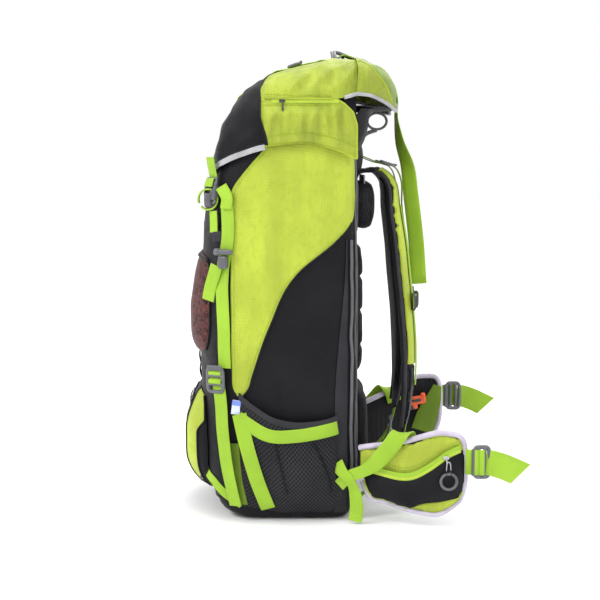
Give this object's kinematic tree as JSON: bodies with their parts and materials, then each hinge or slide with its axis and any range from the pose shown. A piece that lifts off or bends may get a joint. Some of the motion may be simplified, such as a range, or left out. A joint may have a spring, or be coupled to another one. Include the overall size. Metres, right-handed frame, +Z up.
{
  "type": "hiking backpack",
  "caption": "Top-loading hiking backpack with a domed lid, mesh pockets, padded shoulder straps, hip belt wings and webbing with buckles.",
  "frame": {"origin": "on the flat base, midway between the sides, under the middle of the bag, at the floor", "axes": "+Z up, +X to the wearer's right, +Y the way the wearer faces, so the harness is on the +Y side"},
  "size_m": [0.4024, 0.5035, 0.7009],
  "materials": {
    "ripstop_green": "matte ripstop weave",
    "ripstop_olive": "matte ripstop weave",
    "webbing_green": "woven webbing",
    "fabric_black": "matte coated weave",
    "mesh_black": "matte mesh",
    "mesh_wine": "matte printed mesh",
    "cord_grey": "braided cord",
    "plastic_grey": "satin moulded plastic",
    "frame_plastic": "matte sheet",
    "zip_metal": "satin metal"
  },
  "bodies": {
    "bag": {"front_panel": "fabric_black", "side_panel_right": "ripstop_green", "side_panel_left": "ripstop_green", "back_panel": "fabric_black", "base_panel": "fabric_black", "collar": "fabric_black", "collar_cord": "cord_grey", "haul_loop": "cord_grey", "cord_lock_body": "plastic_grey", "frame_sheet": "frame_plastic", "upper_back_pad": "mesh_black", "back_pad": "mesh_black", "lumbar_pad": "mesh_black", "side_pocket_right": "mesh_black", "side_pocket_left": "mesh_black", "side_pocket_strap_right": "webbing_green", "side_pocket_strap_left": "webbing_green", "stretch_pocket": "mesh_wine", "lower_pocket": "fabric_black", "lid_buckle_socket_right": "plastic_grey", "lid_buckle_socket_left": "plastic_grey", "edge_lock_right": "plastic_grey", "edge_lock_left": "plastic_grey", "edge_strap_right": "webbing_green", "edge_strap_left": "webbing_green", "lower_strap_right": "webbing_green", "lower_strap_left": "webbing_green", "load_lifter_right": "webbing_green", "load_lifter_left": "webbing_green"},
    "lid": {"lid_front_panel": "fabric_black", "lid_top_panel": "ripstop_green", "lid_rear_panel": "ripstop_olive", "lid_floor": "fabric_black", "lid_top_strap": "webbing_green", "lid_ladder_lock": "plastic_grey", "lid_strap_tail": "webbing_green"},
    "lid_zip": {"lid_zip_slider": "zip_metal"},
    "cord_button": {"cord_lock_button": "plastic_grey"},
    "shoulder_right": {"shoulder_strap_right": "ripstop_green", "shoulder_lock_right": "plastic_grey"},
    "chest_right": {"chest_strap_right": "fabric_black"},
    "wing_right": {"hip_wing_right": "ripstop_green", "wing_pocket_right": "fabric_black", "stabiliser_strap_right": "webbing_green"},
    "wing_zip_right": {"wing_zip_slider_right": "zip_metal"},
    "belt_right": {"hip_buckle_right": "plastic_grey", "hip_webbing_right": "webbing_green"},
    "lid_plug_right": {"lid_buckle_plug_right": "plastic_grey", "lid_strap_right": "webbing_green"},
    "shoulder_left": {"shoulder_strap_left": "ripstop_green", "shoulder_lock_left": "plastic_grey"},
    "chest_left": {"chest_strap_left": "fabric_black"},
    "wing_left": {"hip_wing_left": "ripstop_green", "wing_pocket_left": "fabric_black", "stabiliser_strap_left": "webbing_green"},
    "wing_zip_left": {"wing_zip_slider_left": "zip_metal"},
    "belt_left": {"hip_buckle_left": "plastic_grey", "hip_webbing_left": "webbing_green"},
    "lid_plug_left": {"lid_buckle_plug_left": "plastic_grey", "lid_strap_left": "webbing_green"}
  },
  "joints": [
    {"name": "lid_hinge", "type": "hinge", "parent": "bag", "child": "lid", "pos_m": [0, 0.15, 0.606], "axis": [-1, 0, 0], "range_deg": [0, 100], "deforming": ["lid_strap_tail", "lid_strap_right", "lid_strap_left", "lid_buckle_plug_right", "lid_buckle_plug_left", "haul_loop"]},
    {"name": "lid_zip_slide", "type": "slide", "parent": "lid", "child": "lid_zip", "axis": [0, 1, 0], "range_m": [0, 0.078]},
    {"name": "cord_button_press", "type": "slide", "parent": "bag", "child": "cord_button", "axis": [0, 0, -1], "range_m": [0, 0.003], "stiffness_N_per_m": 250, "springref_m": -0.002},
    {"name": "shoulder_swing_right", "type": "hinge", "parent": "bag", "child": "shoulder_right", "pos_m": [0.06, 0.152, 0.518], "axis": [1, 0, 0], "range_deg": [0, 18], "deforming": ["lower_strap_right", "load_lifter_right"]},
    {"name": "chest_slide_right", "type": "slide", "parent": "shoulder_right", "child": "chest_right", "axis": [0.1186, 0.0988, -0.988], "range_m": [-0.02, 0.02]},
    {"name": "wing_swing_right", "type": "hinge", "parent": "bag", "child": "wing_right", "pos_m": [0.146, 0.132, 0.08], "axis": [0, 0, 1], "range_deg": [-10, 30], "deforming": ["stabiliser_strap_right"]},
    {"name": "belt_swing_right", "type": "hinge", "parent": "wing_right", "child": "belt_right", "pos_m": [0.1885, 0.289, 0.099], "axis": [0, 0, 1], "range_deg": [-30, 60]},
    {"name": "wing_zip_slide_right", "type": "slide", "parent": "wing_right", "child": "wing_zip_right", "axis": [0, -1, 0], "range_m": [0, 0.065]},
    {"name": "lid_buckle_release_right", "type": "slide", "parent": "lid", "child": "lid_plug_right", "axis": [0.0398, 0.0994, 0.9942], "range_m": [0, 0.022], "deforming": ["lid_strap_right"]},
    {"name": "shoulder_swing_left", "type": "hinge", "parent": "bag", "child": "shoulder_left", "pos_m": [-0.06, 0.152, 0.518], "axis": [1, 0, 0], "range_deg": [0, 18], "deforming": ["lower_strap_left", "load_lifter_left"]},
    {"name": "chest_slide_left", "type": "slide", "parent": "shoulder_left", "child": "chest_left", "axis": [-0.1186, 0.0988, -0.988], "range_m": [-0.02, 0.02]},
    {"name": "wing_swing_left", "type": "hinge", "parent": "bag", "child": "wing_left", "pos_m": [-0.146, 0.132, 0.08], "axis": [0, 0, -1], "range_deg": [-10, 30], "deforming": ["stabiliser_strap_left"]},
    {"name": "belt_swing_left", "type": "hinge", "parent": "wing_left", "child": "belt_left", "pos_m": [-0.1885, 0.289, 0.099], "axis": [0, 0, -1], "range_deg": [-30, 60]},
    {"name": "wing_zip_slide_left", "type": "slide", "parent": "wing_left", "child": "wing_zip_left", "axis": [0, -1, 0], "range_m": [0, 0.065]},
    {"name": "lid_buckle_release_left", "type": "slide", "parent": "lid", "child": "lid_plug_left", "axis": [-0.0398, 0.0994, 0.9942], "range_m": [0, 0.022], "deforming": ["lid_strap_left"]}
  ]
}
